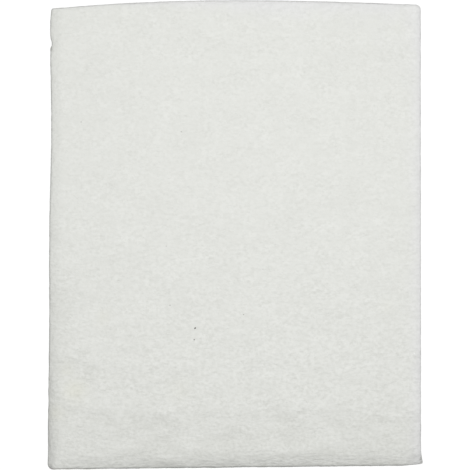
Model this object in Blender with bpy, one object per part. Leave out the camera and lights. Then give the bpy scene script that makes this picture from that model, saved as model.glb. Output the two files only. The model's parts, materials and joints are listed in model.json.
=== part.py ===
"""Ceramic fiber sheet: one piece cut from needled alumina-silica blanket, lying flat.

Units are metres and +Z is up. +X runs across the sheet and +Y from its near end to its far end. The
origin is at the middle of the face that the sheet rests on. The sheet is one piece of stock, so it is
one closed body: a top face, a soft edge all round and a flat underside.
"""

import math

import bmesh
import bpy

# The piece of blanket
SHEET_WIDTH = 0.3048  # 12 in, across the sheet
SHEET_LENGTH = 0.382  # 15 in and the bow of the far end, as the mean length from end to end
THICKNESS = 0.0127  # half-inch blanket

# The cut outline, as it leaves a true rectangle
END_SKEW = 0.0033  # both ends are cut out of square, and lie this much further on at the right side
FAR_BOW = 0.0056  # height of the long arc of the far end
FAR_LEAN = 0.12  # the share of half the width by which the arc's top lies to the left
LEFT_FLARE = 0.0021  # the left side runs out by this much on its way to the near end
FLARE_POWER = 1.6  # above 1, the flare gathers towards the near end
LEFT_SWAY = 0.0008  # how far the left side wanders in and out in its far half
SWAY_WAVE = 0.45  # one wander, as a share of the length
SWAY_CREST = 0.72  # where it is furthest in, as a share of the length
RIGHT_TAPER = 0.0007  # the right side runs in by this much on its way to the near end

# A tear in the left side, near the far end
NOTCH_DEPTH = 0.0014
NOTCH_LENGTH = 0.0120
NOTCH_FROM_FAR = 0.0296  # from the far end to the deepest place
NOTCH_FAR_SHARE = 0.62  # the share of its length on the far side of the deepest place

# The near right corner, drawn out to a tip by the blade
TIP_REACH = 0.0018  # sideways
TIP_LIFT = 0.0014  # towards the far end
TIP_LENGTH = 0.0200  # how much of the two sides it bends

# The far left corner, drawn to a small peak in the same way
PEAK_REACH = 0.0009
PEAK_LIFT = 0.0008
PEAK_LENGTH = 0.0120

# Radii of the corners, seen from above
NEAR_LEFT_CORNER = 0.0045
NEAR_RIGHT_CORNER = 0.0012
FAR_RIGHT_CORNER = 0.0036
FAR_LEFT_CORNER = 0.0014

# How the top face eases down to each edge, where the blade squeezed the felt: over what width, and how far
NEAR_ROLL = 0.0145
NEAR_DROP = 0.0045
LEFT_ROLL_FAR = 0.0100
LEFT_DROP_FAR = 0.0022
LEFT_ROLL_NEAR = 0.0200
LEFT_DROP_NEAR = 0.0063
LEFT_CURL = 4.0  # power of the left roll's curve at its near end
PLAIN_CURL = 2.0  # power of every other roll's curve, which is a parabola
LEFT_POWER = 6.0  # above 1, the left side's change from far to near gathers towards the near end
RIGHT_ROLL = 0.0035
RIGHT_DROP = 0.00055
FAR_ROLL = 0.0025
FAR_DROP = 0.0005

# The near end eases down less at its corners, by these shares, and in full from this far in
LEFT_EASE = 0.55
RIGHT_EASE = 0.30
EASE_WIDTH = 0.0800

# A gentle sag of the whole near end, added to its roll
SAG_WIDTH = 0.0480
SAG_DROP = 0.0018
SAG_POWER = 1.2  # above 1, the sag gathers towards the near end

# The rounded turns from the top face into the cut edge, and from the cut edge into the underside. Where the
# face already slopes, the shoulder carries on from its slope, so its arc is larger over the same width.
SHOULDER_RADIUS = 0.0016
RIGHT_SHOULDER = 0.0009  # the same at the right side, where the cut is crisper
CRISP_REACH = 0.0200  # how far in from the right side the crisper cut fades out
STEEPEST_SLOPE = 1.5  # the steepest slope of the face that a shoulder carries on from
FOOT_RADIUS = 0.0010

# Soft cross-wise waves of the top face, next to the near end
WAVE_HEIGHT = 0.0006  # from trough to crest
WAVE_PITCH = 0.0415
WAVE_COUNT = 2.5
WAVE_DRIFT = 0.0040  # how far a crest wanders along the sheet on its way across

# How finely the surface is divided
ROLL_STEPS = 6
RIM_STEPS = 3
MIDDLE_COLUMNS = 11
ROWS_PER_WAVE = 5
MIDDLE_ROWS = 8
NOTCH_ROWS = 6
SHOULDER_STEPS = 3
FOOT_STEPS = 2
ROLL_EASE = 1.5  # above 1, the divisions of a roll gather at its edge
SHARP_ANGLE = math.radians(40)  # faces that meet at a sharper turn than this aren't shaded as one

# Unglazed white ceramic fibre, a touch warm
FELT_COLOUR = (0.76, 0.77, 0.73, 1.0)
FELT_ROUGHNESS = 0.95


def clear_scene():
    """Remove every object that the file opens with."""
    for old in list(bpy.data.objects):
        bpy.data.objects.remove(old, do_unlink=True)


def felt_material():
    """White needled felt: fully rough and not metallic."""
    material = bpy.data.materials.new("ceramic_fiber_felt")
    material.use_nodes = True
    shader = material.node_tree.nodes["Principled BSDF"]
    shader.inputs["Base Color"].default_value = FELT_COLOUR
    shader.inputs["Roughness"].default_value = FELT_ROUGHNESS
    shader.inputs["Metallic"].default_value = 0.0
    return material


def evenly(start, end, count):
    """Places from start, at equal steps, up to but without end."""
    return [start + (end - start) * k / count for k in range(count)]


def eased(width, count):
    """Distances from an edge to the end of its roll, closer together at the edge."""
    return [width * (k / count) ** ROLL_EASE for k in range(count + 1)]


def grid_columns():
    """Distances from the left side to the columns of the top face."""
    left = [SHOULDER_RADIUS + step for step in eased(LEFT_ROLL_NEAR, ROLL_STEPS)]
    right = [SHEET_WIDTH - SHOULDER_RADIUS - step for step in eased(RIGHT_ROLL, RIM_STEPS)]
    middle = evenly(left[-1], right[-1], MIDDLE_COLUMNS)
    return left[:-1] + middle + right[::-1]


def grid_rows():
    """Distances from the near end to the rows of the top face, closer at the waves and the tear."""
    near = [SHOULDER_RADIUS + step for step in eased(NEAR_ROLL, ROLL_STEPS)]
    far = [SHEET_LENGTH - SHOULDER_RADIUS - step for step in eased(FAR_ROLL, RIM_STEPS)]
    wave_end = WAVE_PITCH * WAVE_COUNT
    notch_start, notch_end = notch_span()
    waves = evenly(near[-1], wave_end, round(ROWS_PER_WAVE * WAVE_COUNT))
    middle = evenly(wave_end, notch_start, MIDDLE_ROWS)
    notch = evenly(notch_start, notch_end, NOTCH_ROWS)
    last = [notch_end, (notch_end + far[-1]) / 2]
    return near[:-1] + waves + middle + notch + last + far[::-1]


def notch_span():
    """Where the tear starts and ends, as distances from the near end."""
    deepest = SHEET_LENGTH - NOTCH_FROM_FAR
    return deepest - NOTCH_LENGTH * (1 - NOTCH_FAR_SHARE), deepest + NOTCH_LENGTH * NOTCH_FAR_SHARE


def notch_push(along):
    """How deep the tear is, from 0 to 1: a squared sine that opens slowly from the far end."""
    start, end = notch_span()
    deepest = SHEET_LENGTH - NOTCH_FROM_FAR
    if along <= start or along >= end:
        return 0.0
    if along < deepest:
        share = (along - start) / (deepest - start)
    else:
        share = (end - along) / (end - deepest)
    return math.sin(share * math.pi / 2) ** 2


def round_corner(x, y, half_width, half_length, inset):
    """Carry a point near a corner of the rectangle onto the rounded corner.

    Inside the corner's square, the point (p, q) of the unit square goes to the unit quarter disc by
    p * sqrt(1 - q * q / 2) and q * sqrt(1 - p * p / 2), which leaves the inner sides of the square alone.
    """
    if y < 0:
        radius = NEAR_LEFT_CORNER if x < 0 else NEAR_RIGHT_CORNER
    else:
        radius = FAR_LEFT_CORNER if x < 0 else FAR_RIGHT_CORNER
    radius = max(radius - inset, FOOT_RADIUS / 2)
    p = (abs(x) - half_width + radius) / radius
    q = (abs(y) - half_length + radius) / radius
    if p <= 0 or q <= 0:
        return x, y
    rounded_x = half_width - radius + radius * p * math.sqrt(1 - q * q / 2)
    rounded_y = half_length - radius + radius * q * math.sqrt(1 - p * p / 2)
    return math.copysign(rounded_x, x), math.copysign(rounded_y, y)


def cut_outline(x, y):
    """Move a point of the true rectangle to its place in the hand-cut sheet."""
    across = 2 * x / SHEET_WIDTH
    along = 2 * y / SHEET_LENGTH
    far_share = ((1 + along) / 2) ** 2
    left_share = (1 - across) / 2
    from_left = x + SHEET_WIDTH / 2
    from_near = y + SHEET_LENGTH / 2

    leaned = across + FAR_LEAN * (1 - across * across)
    cut_y = y + END_SKEW * across / 2 + FAR_BOW * (1 / 3 - leaned * leaned) * far_share

    flare = max(0.0, (1 - along) / 2) ** FLARE_POWER - 0.5
    sway = math.cos(2 * math.pi * ((1 + along) / 2 - SWAY_CREST) / SWAY_WAVE) * (1 + along) / 2
    cut_x = x + (LEFT_SWAY * sway - LEFT_FLARE * flare) * left_share
    cut_x += RIGHT_TAPER * along / 2 * (1 + across) / 2
    cut_x += NOTCH_DEPTH * notch_push(from_near) * max(0.0, 1 - from_left / NOTCH_LENGTH)

    tip = max(0.0, 1 - math.hypot(SHEET_WIDTH - from_left, from_near) / TIP_LENGTH) ** 2
    peak = max(0.0, 1 - math.hypot(from_left, SHEET_LENGTH - from_near) / PEAK_LENGTH) ** 2
    return cut_x + TIP_REACH * tip + PEAK_REACH * peak, cut_y + TIP_LIFT * tip + PEAK_LIFT * peak


def roll_down(from_edge, width, drop, curl=PLAIN_CURL):
    """Height lost near an edge: a power of the share of the roll's width, level where it meets the face."""
    share = max(0.0, 1 - (from_edge - SHOULDER_RADIUS) / width)
    return drop * share**curl


def wave_height(from_left, from_near):
    """Height of the cross-wise waves: a sine along the sheet that fades out after the last wave."""
    zone = WAVE_PITCH * WAVE_COUNT
    drifted = from_near + WAVE_DRIFT * math.sin(2 * math.pi * from_left / SHEET_WIDTH)
    share = min(1.0, max(0.0, drifted / zone))
    return WAVE_HEIGHT / 2 * math.sin(2 * math.pi * WAVE_COUNT * share) * (1 - share**4)


def top_height(x, y):
    """Height of the top face over a point of the true rectangle."""
    from_left = x + SHEET_WIDTH / 2
    from_near = y + SHEET_LENGTH / 2
    nearness = (1 - from_near / SHEET_LENGTH) ** LEFT_POWER
    left_roll = LEFT_ROLL_FAR + (LEFT_ROLL_NEAR - LEFT_ROLL_FAR) * nearness
    left_drop = LEFT_DROP_FAR + (LEFT_DROP_NEAR - LEFT_DROP_FAR) * nearness
    left_curl = PLAIN_CURL + (LEFT_CURL - PLAIN_CURL) * nearness
    ease = 1 - LEFT_EASE * max(0.0, 1 - from_left / EASE_WIDTH)
    ease -= RIGHT_EASE * max(0.0, 1 - (SHEET_WIDTH - from_left) / EASE_WIDTH)
    drops = (
        roll_down(from_left, left_roll, left_drop, left_curl),
        roll_down(SHEET_WIDTH - from_left, RIGHT_ROLL, RIGHT_DROP),
        roll_down(from_near, NEAR_ROLL, NEAR_DROP * ease),
        roll_down(SHEET_LENGTH - from_near, FAR_ROLL, FAR_DROP),
    )
    sag = SAG_DROP * ease * max(0.0, 1 - from_near / SAG_WIDTH) ** SAG_POWER
    return THICKNESS - math.hypot(*drops) - sag + wave_height(from_left, from_near)


def slope_inward(x, y):
    """Slope of the top face over a point of its border, on the way to the middle of the sheet."""
    step = SHOULDER_RADIUS / 4
    inner_x = x * (1 - step / (SHEET_WIDTH / 2 - SHOULDER_RADIUS))
    inner_y = y * (1 - step / (SHEET_LENGTH / 2 - SHOULDER_RADIUS))
    return max(0.0, top_height(inner_x, inner_y) - top_height(x, y)) / step


def shoulder_width(x):
    """Width of the shoulder, by how near the right side a point of the border is."""
    rightness = max(0.0, 1 - (SHEET_WIDTH / 2 - SHOULDER_RADIUS - x) / CRISP_REACH)
    return SHOULDER_RADIUS - (SHOULDER_RADIUS - RIGHT_SHOULDER) * rightness


def edge_sections(edge_height, slope, width):
    """Profile of the cut edge below the top face, from the top down: (inset from the outline, height). The
    shoulder is an arc, `width` wide, that carries on from the slope of the face and turns it upright."""
    tilt = math.atan(min(slope, STEEPEST_SLOPE))
    radius = width / (1 - math.sin(tilt))
    start_height = edge_height - math.tan(tilt) * (SHOULDER_RADIUS - width)
    shoulder = min(radius * math.cos(tilt), start_height / 2)
    foot = min(FOOT_RADIUS, edge_height / 3)
    section = []
    for k in range(1, SHOULDER_STEPS + 1):
        angle = tilt + (math.pi / 2 - tilt) * k / SHOULDER_STEPS
        lost = shoulder * (1 - math.cos(angle) / math.cos(tilt))
        section.append((radius * (1 - math.sin(angle)), start_height - lost))
    for k in range(FOOT_STEPS + 1):
        angle = math.pi / 2 * k / FOOT_STEPS
        section.append((FOOT_RADIUS * (1 - math.cos(angle)), foot * (1 - math.sin(angle))))
    return section


def plan_point(x, y, half_width, half_length, inset):
    """Plan place, in the cut sheet, of a point of the rectangle that lies `inset` inside the outline."""
    return cut_outline(*round_corner(x, y, half_width, half_length, inset))


def sheet_mesh():
    """The closed surface: a grid for the top face, rings down the cut edge and one flat underside."""
    half_width = SHEET_WIDTH / 2 - SHOULDER_RADIUS
    half_length = SHEET_LENGTH / 2 - SHOULDER_RADIUS
    xs = [column - SHEET_WIDTH / 2 for column in grid_columns()]
    ys = [row - SHEET_LENGTH / 2 for row in grid_rows()]

    shape = bmesh.new()
    top = [
        [
            shape.verts.new((*plan_point(x, y, half_width, half_length, SHOULDER_RADIUS), top_height(x, y)))
            for x in xs
        ]
        for y in ys
    ]
    for row, next_row in zip(top, top[1:]):
        for k in range(len(xs) - 1):
            shape.faces.new((row[k], row[k + 1], next_row[k + 1], next_row[k]))

    last_x = len(xs) - 1
    last_y = len(ys) - 1
    border = [(k, 0) for k in range(last_x)]
    border += [(last_x, k) for k in range(last_y)]
    border += [(last_x - k, last_y) for k in range(last_x)]
    border += [(0, last_y - k) for k in range(last_y)]

    columns = []
    for i, j in border:
        places = [top[j][i]]
        edge_height = top_height(xs[i], ys[j])
        slope = slope_inward(xs[i], ys[j])
        for inset, height in edge_sections(edge_height, slope, shoulder_width(xs[i])):
            ring_width = SHEET_WIDTH / 2 - inset
            ring_length = SHEET_LENGTH / 2 - inset
            x = xs[i] * ring_width / half_width
            y = ys[j] * ring_length / half_length
            places.append(shape.verts.new((*plan_point(x, y, ring_width, ring_length, inset), height)))
        columns.append(places)
    for column, next_column in zip(columns, columns[1:] + columns[:1]):
        for k in range(len(column) - 1):
            shape.faces.new((column[k], column[k + 1], next_column[k + 1], next_column[k]))
    shape.faces.new([column[-1] for column in reversed(columns)])
    return shape


def centre_on_box(shape):
    """Put the origin at the middle of the underside's box."""
    for axis in range(2):
        places = [vert.co[axis] for vert in shape.verts]
        middle = (min(places) + max(places)) / 2
        for vert in shape.verts:
            vert.co[axis] -= middle


def build_sheet():
    """The sheet as one named object with its felt material."""
    shape = sheet_mesh()
    centre_on_box(shape)
    mesh = bpy.data.meshes.new("fiber_sheet")
    shape.to_mesh(mesh)
    shape.free()
    mesh.materials.append(felt_material())
    mesh.shade_smooth()
    mesh.set_sharp_from_angle(angle=SHARP_ANGLE)
    sheet = bpy.data.objects.new("fiber_sheet", mesh)
    bpy.context.scene.collection.objects.link(sheet)
    return sheet


clear_scene()
build_sheet()
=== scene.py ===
"""Ceramic fibre sheet: the looks of one flat piece of needled blanket, on a pale studio floor.

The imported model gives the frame. The felt body is worked out again here from the same cuts as the solid, as a
fine closed surface with the lumps, matted grain, needle marks and laid-down layers of real blanket. Loose
fibres and dark beads of unspun melt lie on it. Units are metres, +Z is up and +Y runs to the far end.
"""

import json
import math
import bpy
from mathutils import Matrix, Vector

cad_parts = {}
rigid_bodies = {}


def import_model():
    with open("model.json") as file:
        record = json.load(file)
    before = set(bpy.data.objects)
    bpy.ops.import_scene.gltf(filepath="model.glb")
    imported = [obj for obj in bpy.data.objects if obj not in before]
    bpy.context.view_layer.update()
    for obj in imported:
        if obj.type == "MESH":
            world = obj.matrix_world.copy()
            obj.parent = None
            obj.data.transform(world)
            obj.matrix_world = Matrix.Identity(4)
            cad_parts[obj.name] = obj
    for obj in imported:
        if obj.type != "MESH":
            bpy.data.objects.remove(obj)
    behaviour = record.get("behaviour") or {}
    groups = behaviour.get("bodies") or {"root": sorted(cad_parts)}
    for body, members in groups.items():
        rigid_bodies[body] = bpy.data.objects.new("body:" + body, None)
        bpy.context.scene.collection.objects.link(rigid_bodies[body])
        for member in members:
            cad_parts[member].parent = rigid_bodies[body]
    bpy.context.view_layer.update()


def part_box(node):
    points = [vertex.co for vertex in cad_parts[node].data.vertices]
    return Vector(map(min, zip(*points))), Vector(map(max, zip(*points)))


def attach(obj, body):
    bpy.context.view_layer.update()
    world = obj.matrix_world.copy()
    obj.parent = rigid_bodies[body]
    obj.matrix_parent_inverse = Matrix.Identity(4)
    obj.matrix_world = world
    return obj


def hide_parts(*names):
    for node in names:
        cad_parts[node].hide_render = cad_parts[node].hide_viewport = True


bl_info = {
    "name": "Ceramic Fiber Sheet",
    "version": (1, 0, 0),
    "blender": (4, 5, 0),
    "location": "3D View > Sidebar > Fiber Sheet",
    "description": "Builds a flat sheet of needled ceramic fibre blanket with its studio stage",
    "category": "Object",
}

import bpy
import numpy as np
from bpy.props import FloatProperty, FloatVectorProperty, IntProperty, PointerProperty
from mathutils import Vector

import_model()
NODE = "fiber_sheet"
NODE_LOW, NODE_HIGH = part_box(NODE)
MM = 0.001

# How finely the surfaces are divided, and the start of the random draws
FACE_STEP = 1.32 * MM  # between the lines of the top face
SHOULDER_STEPS = 5
WALL_STEPS = 17
FOOT_STEPS = 2
FACE_FIBER_STEPS = 8  # points along a loose fibre
EDGE_FIBER_STEPS = 7
NOISE_CELLS = 64  # the noise lattice repeats after this many cells
NOISE_GAIN = 1.6  # brings the noise to about -1 to 1
SEED = 20

# Lengths over which some of the noises change
LAYER_WANDER_PATCH = np.array([22, 22, 9]) * MM
LAYER_PATCH = np.array([14, 14, 3]) * MM
CLOT_PATCH = np.array([15, 8, 8]) * MM
RIM_PATCH = 16 * MM

# Shape of a plain roll, and shares of the relief that are left at the far end and on an upright surface
PLAIN_CURL = 2.0  # a parabola
FAR_RELIEF = 0.4
UPRIGHT_RELIEF = 0.4

# How far in the clean grey rims reach, and how deep a crease is whose painted shade shows in full
RIGHT_RIM = 8 * MM
FAR_RIM_LEFT = 4 * MM
FAR_RIM_RIGHT = 12 * MM
CLEAN_CORNER = 30 * MM
CREASE_SHADE = 1.1 * MM


def srgb(hex_colour):
    """An sRGB hex colour, such as E2E3DE, as linear red, green, blue and full alpha."""
    parts = [int(hex_colour[k : k + 2], 16) / 255 for k in (0, 2, 4)]
    linear = [c / 12.92 if c <= 0.04045 else ((c + 0.055) / 1.055) ** 2.4 for c in parts]
    return (*linear, 1.0)


def add_node(tree, kind, inputs=None, **settings):
    """Add a shader node with its own settings. Its inputs, by name or number, are values or sockets."""
    node = tree.nodes.new(kind)
    for name, value in settings.items():
        setattr(node, name, value)
    for name, value in (inputs or {}).items():
        if isinstance(value, bpy.types.NodeSocket):
            tree.links.new(value, node.inputs[name])
        else:
            node.inputs[name].default_value = value
    return node


def mesh_object(name, points, faces, material):
    """A smooth mesh object from an array of points and face arrays, each with its own number of corners."""
    corners = np.concatenate([part.ravel() for part in faces]).astype(np.int32)
    counts = np.concatenate([np.full(len(part), part.shape[1]) for part in faces])
    starts = np.concatenate([[0], np.cumsum(counts)[:-1]]).astype(np.int32)
    mesh = bpy.data.meshes.new(name)
    mesh.vertices.add(len(points))
    mesh.vertices.foreach_set("co", points.astype(np.float32).ravel())
    mesh.loops.add(len(corners))
    mesh.loops.foreach_set("vertex_index", corners)
    mesh.polygons.add(len(counts))
    mesh.polygons.foreach_set("loop_start", starts)
    mesh.update(calc_edges=True)
    mesh.validate()
    mesh.shade_smooth()
    mesh.materials.append(material)
    piece = bpy.data.objects.new(name, mesh)
    bpy.context.scene.collection.objects.link(piece)
    return piece


def lattice_noise(points, grain, seed):
    """Gradient noise of about -1 to 1: each lattice corner, `grain` apart along x, y and z, has a random
    slope, and the eight slopes round a point are blended by 6t^5 - 15t^4 + 10t^3."""
    slopes = np.random.default_rng(seed).normal(size=(NOISE_CELLS, NOISE_CELLS, NOISE_CELLS, 3))
    slopes /= np.linalg.norm(slopes, axis=-1, keepdims=True)
    cells = points / np.asarray(grain)
    low = np.floor(cells).astype(int)
    part = cells - low
    blend = part**3 * (part * (part * 6 - 15) + 10)
    total = np.zeros(points.shape[:-1])
    for corner in np.ndindex(2, 2, 2):
        index = (low + corner) % NOISE_CELLS
        slope = slopes[index[..., 0], index[..., 1], index[..., 2]]
        weight = np.prod(np.where(corner, blend, 1 - blend), axis=-1)
        total += weight * ((part - corner) * slope).sum(axis=-1)
    return total * NOISE_GAIN


def smooth_step(value):
    """0 below 0, 1 above 1 and 3t^2 - 2t^3 between."""
    share = np.clip(value, 0, 1)
    return share * share * (3 - 2 * share)


def fade(distance, full, width):
    """1 up to `full` from an edge and 0 from `width` further on, both in mm, with a smooth step between."""
    return smooth_step(1 - (distance / MM - full) / width)


def notch_push(cut, from_far):
    """How deep the tear in the left side is, 0 to 1: a squared sine that opens slowly from the far end."""
    before = cut.notch_length * cut.notch_far_share
    after = cut.notch_length - before
    offset = from_far - cut.notch_from_far
    share = np.where(offset < 0, 1 + offset / before, 1 - offset / after)
    return np.sin(np.clip(share, 0, 1) * math.pi / 2) ** 2


def round_corners(cut, x, y, half_width, half_length, inset):
    """Carry the corners of a rectangle onto arcs: in a corner's square the point (p, q) goes to
    p * sqrt(1 - q * q / 2) and q * sqrt(1 - p * p / 2)."""
    near = np.where(x < 0, cut.near_left_corner, cut.near_right_corner)
    far = np.where(x < 0, cut.far_left_corner, cut.far_right_corner)
    radius = np.maximum(np.where(y < 0, near, far) - inset, cut.foot_radius / 2)
    p = (np.abs(x) - half_width + radius) / radius
    q = (np.abs(y) - half_length + radius) / radius
    inside = (p > 0) & (q > 0)
    p = np.where(inside, p, 0)
    q = np.where(inside, q, 0)
    rounded_x = half_width - radius + radius * p * np.sqrt(1 - q * q / 2)
    rounded_y = half_length - radius + radius * q * np.sqrt(1 - p * p / 2)
    return np.where(inside, np.sign(x) * rounded_x, x), np.where(inside, np.sign(y) * rounded_y, y)


def cut_outline(cut, x, y):
    """Move a point of the true rectangle to its place in the hand-cut sheet: skewed ends, long arcs, a flared
    left side with a tear, a near right corner drawn out to a tip and a far left one drawn to a peak."""
    across = 2 * x / cut.width
    along = 2 * y / cut.length
    from_left = x + cut.width / 2
    from_near = y + cut.length / 2
    leaned = across + cut.far_lean * (1 - across * across)
    far_share = ((1 + along) / 2) ** 2
    cut_y = y + cut.end_skew * across / 2 + cut.far_bow * (1 / 3 - leaned * leaned) * far_share
    flare = np.maximum(0, (1 - along) / 2) ** cut.flare_power - 0.5
    sway = np.cos(2 * math.pi * ((1 + along) / 2 - cut.sway_crest) / cut.sway_wave) * (1 + along) / 2
    cut_x = x + (cut.left_sway * sway - cut.left_flare * flare) * (1 - across) / 2
    cut_x = cut_x + cut.right_taper * along / 2 * (1 + across) / 2
    notch = cut.notch_depth * notch_push(cut, cut.length - from_near)
    cut_x = cut_x + notch * np.maximum(0, 1 - from_left / cut.notch_length)
    tip = np.maximum(0, 1 - np.hypot(cut.width - from_left, from_near) / cut.tip_length) ** 2
    peak = np.maximum(0, 1 - np.hypot(from_left, cut.length - from_near) / cut.peak_length) ** 2
    cut_x = cut_x + cut.tip_reach * tip + cut.peak_reach * peak
    return cut_x, cut_y + cut.tip_lift * tip + cut.peak_lift * peak


def roll_down(cut, from_edge, width, drop, curl=PLAIN_CURL):
    """Height lost near an edge: a power of the share of the roll's width, level where it meets the face."""
    share = np.maximum(0, 1 - (from_edge - cut.shoulder_radius) / width)
    return drop * share**curl


def top_height(cut, x, y):
    """Height of the top face: the thickness, less the rolls at the four edges and the sag of the near end,
    plus a sine along the sheet that fades out after its last wave."""
    from_left = x + cut.width / 2
    from_near = y + cut.length / 2
    nearness = (1 - from_near / cut.length) ** cut.left_power
    left_roll = cut.left_roll_far + (cut.left_roll_near - cut.left_roll_far) * nearness
    left_drop = cut.left_drop_far + (cut.left_drop_near - cut.left_drop_far) * nearness
    left_curl = PLAIN_CURL + (cut.left_curl - PLAIN_CURL) * nearness
    lost = roll_down(cut, from_left, left_roll, left_drop, left_curl) ** 2
    lost = lost + roll_down(cut, cut.width - from_left, cut.right_roll, cut.right_drop) ** 2
    ease = 1 - cut.left_ease * np.maximum(0, 1 - from_left / cut.ease_width)
    ease = ease - cut.right_ease * np.maximum(0, 1 - (cut.width - from_left) / cut.ease_width)
    lost = lost + roll_down(cut, from_near, cut.near_roll, cut.near_drop * ease) ** 2
    lost = lost + roll_down(cut, cut.length - from_near, cut.far_roll, cut.far_drop) ** 2
    drifted = from_near + cut.wave_drift * np.sin(2 * math.pi * from_left / cut.width)
    share = np.clip(drifted / (cut.wave_pitch * cut.wave_count), 0, 1)
    wave = cut.wave_height / 2 * np.sin(2 * math.pi * cut.wave_count * share) * (1 - share**4)
    sag = cut.sag_drop * ease * np.maximum(0, 1 - from_near / cut.sag_width) ** cut.sag_power
    return cut.thickness - np.sqrt(lost) + wave - sag


def plan(cut, x, y, inset):
    """Plan place in the cut sheet of points of the rectangle that lies `inset` inside the outline."""
    rounded = round_corners(cut, x, y, cut.width / 2 - inset, cut.length / 2 - inset, inset)
    return cut_outline(cut, *rounded)


def edge_section(cut, edge_height, slope, width):
    """Profile of the cut edge from the top face down: a shoulder, `width` wide, that carries on from the
    slope of the face and turns it upright along an arc, a wall and a round foot. Gives insets and heights
    by level."""
    tilt = np.arctan(np.minimum(slope, cut.steepest_slope))
    radius = width / (1 - np.sin(tilt))
    start_height = edge_height - np.tan(tilt) * (cut.shoulder_radius - width)
    shoulder = np.minimum(radius * np.cos(tilt), start_height / 2)
    foot = np.minimum(cut.foot_radius, edge_height / 3)
    insets, heights = [], []
    for share in np.linspace(0, 1, SHOULDER_STEPS + 1)[1:]:
        angle = tilt + (math.pi / 2 - tilt) * share
        insets.append(radius * (1 - np.sin(angle)))
        heights.append(start_height - shoulder * (1 - np.cos(angle) / np.cos(tilt)))
    for share in np.linspace(0, 1, WALL_STEPS + 1)[1:]:
        insets.append(np.zeros_like(tilt))
        heights.append((start_height - shoulder) * (1 - share) + foot * share)
    for angle in np.linspace(0, math.pi / 2, FOOT_STEPS + 1)[1:]:
        insets.append(np.full_like(tilt, cut.foot_radius * (1 - math.cos(angle))))
        heights.append(foot * (1 - math.sin(angle)))
    return np.array(insets), np.array(heights)


def border(columns, rows):
    """Indices of a grid's border, anticlockwise from its near left corner."""
    near = np.arange(columns - 1)
    right = columns * np.arange(1, rows) - 1
    far = columns * rows - 1 - near
    left = columns * np.arange(rows - 1, 0, -1)
    return np.concatenate([near, right, far, left])


def grid_quads(columns, rows):
    """Quads of a grid of points in rows, facing up."""
    first = (np.arange(rows - 1)[:, None] * columns + np.arange(columns - 1)).ravel()
    return np.stack([first, first + 1, first + columns + 1, first + columns], axis=1)


def bare_surface(cut):
    """The sheet before any relief: points, faces, and the shapes of its three parts.

    The top face is a grid. Rings at the levels of the edge's section go down from its border, and the
    underside is a grid of every fourth line, joined to the last ring by a strip of triangles.
    """
    half_width = cut.width / 2 - cut.shoulder_radius
    half_length = cut.length / 2 - cut.shoulder_radius
    columns = 4 * round(half_width / FACE_STEP / 2) + 1
    rows = 4 * round(half_length / FACE_STEP / 2) + 1
    across = np.linspace(-half_width, half_width, columns)
    along = np.linspace(-half_length, half_length, rows)
    x, y = np.meshgrid(across, along)
    top = np.stack([*plan(cut, x, y, cut.shoulder_radius), top_height(cut, x, y)], axis=-1).reshape(-1, 3)

    rim = border(columns, rows)
    rim_x, rim_y = x.ravel()[rim], y.ravel()[rim]
    step = cut.shoulder_radius / 4
    rim_height = top_height(cut, rim_x, rim_y)
    inner_height = top_height(cut, rim_x * (1 - step / half_width), rim_y * (1 - step / half_length))
    rightness = np.maximum(0, 1 - (half_width - rim_x) / cut.right_crisp_reach)
    width = cut.shoulder_radius - (cut.shoulder_radius - cut.right_shoulder) * rightness
    insets, heights = edge_section(cut, rim_height, np.maximum(0, inner_height - rim_height) / step, width)
    rings = []
    for inset, height in zip(insets, heights):
        ring_x = rim_x * (cut.width / 2 - inset) / half_width
        ring_y = rim_y * (cut.length / 2 - inset) / half_length
        rings.append(np.stack([*plan(cut, ring_x, ring_y, inset), height], axis=-1))
    rings = np.array(rings)

    inner = cut.foot_radius + 2 * FACE_STEP
    low_x = x[::4, ::4] * (cut.width / 2 - inner) / half_width
    low_y = y[::4, ::4] * (cut.length / 2 - inner) / half_length
    under = np.stack([*plan(cut, low_x, low_y, inner), np.zeros_like(low_x)], axis=-1).reshape(-1, 3)

    points = np.concatenate([top, rings.reshape(-1, 3), under])
    around = len(rim)
    loops = np.concatenate([rim[None], len(top) + np.arange(len(rings) * around).reshape(-1, around)])
    onward = np.roll(loops, -1, axis=1)
    walls = np.stack([loops[:-1], loops[1:], onward[1:], onward[:-1]], axis=-1).reshape(-1, 4)
    under_start = len(top) + rings.size // 3
    low_columns, low_rows = low_x.shape[1], low_x.shape[0]
    last = loops[-1]
    coarse = under_start + border(low_columns, low_rows)
    coarse_1 = np.roll(coarse, -1)
    fine = [np.roll(last, -k)[::4] for k in range(5)]
    fans = [(fine[k + 1], fine[k], coarse if k < 2 else coarse_1) for k in range(4)]
    strip = np.concatenate([np.stack(fan, axis=1) for fan in (*fans, (fine[2], coarse, coarse_1))])
    floor_quads = under_start + grid_quads(low_columns, low_rows)[:, ::-1]
    faces = [np.concatenate([grid_quads(columns, rows), walls, floor_quads]), strip]
    shape = {"columns": columns, "rows": rows, "around": around, "levels": len(rings), "under": under_start}
    return points, faces, shape


def point_normals(points, faces):
    """Outward normals at the points: the sum of the cross products of the faces round each."""
    normals = np.zeros_like(points)
    for part in faces:
        corners = points[part]
        if part.shape[1] == 4:
            product = np.cross(corners[:, 2] - corners[:, 0], corners[:, 3] - corners[:, 1])
        else:
            product = np.cross(corners[:, 1] - corners[:, 0], corners[:, 2] - corners[:, 0])
        for k in range(part.shape[1]):
            np.add.at(normals, part[:, k], product)
    return normals / np.maximum(np.linalg.norm(normals, axis=1, keepdims=True), 1e-12)


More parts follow.
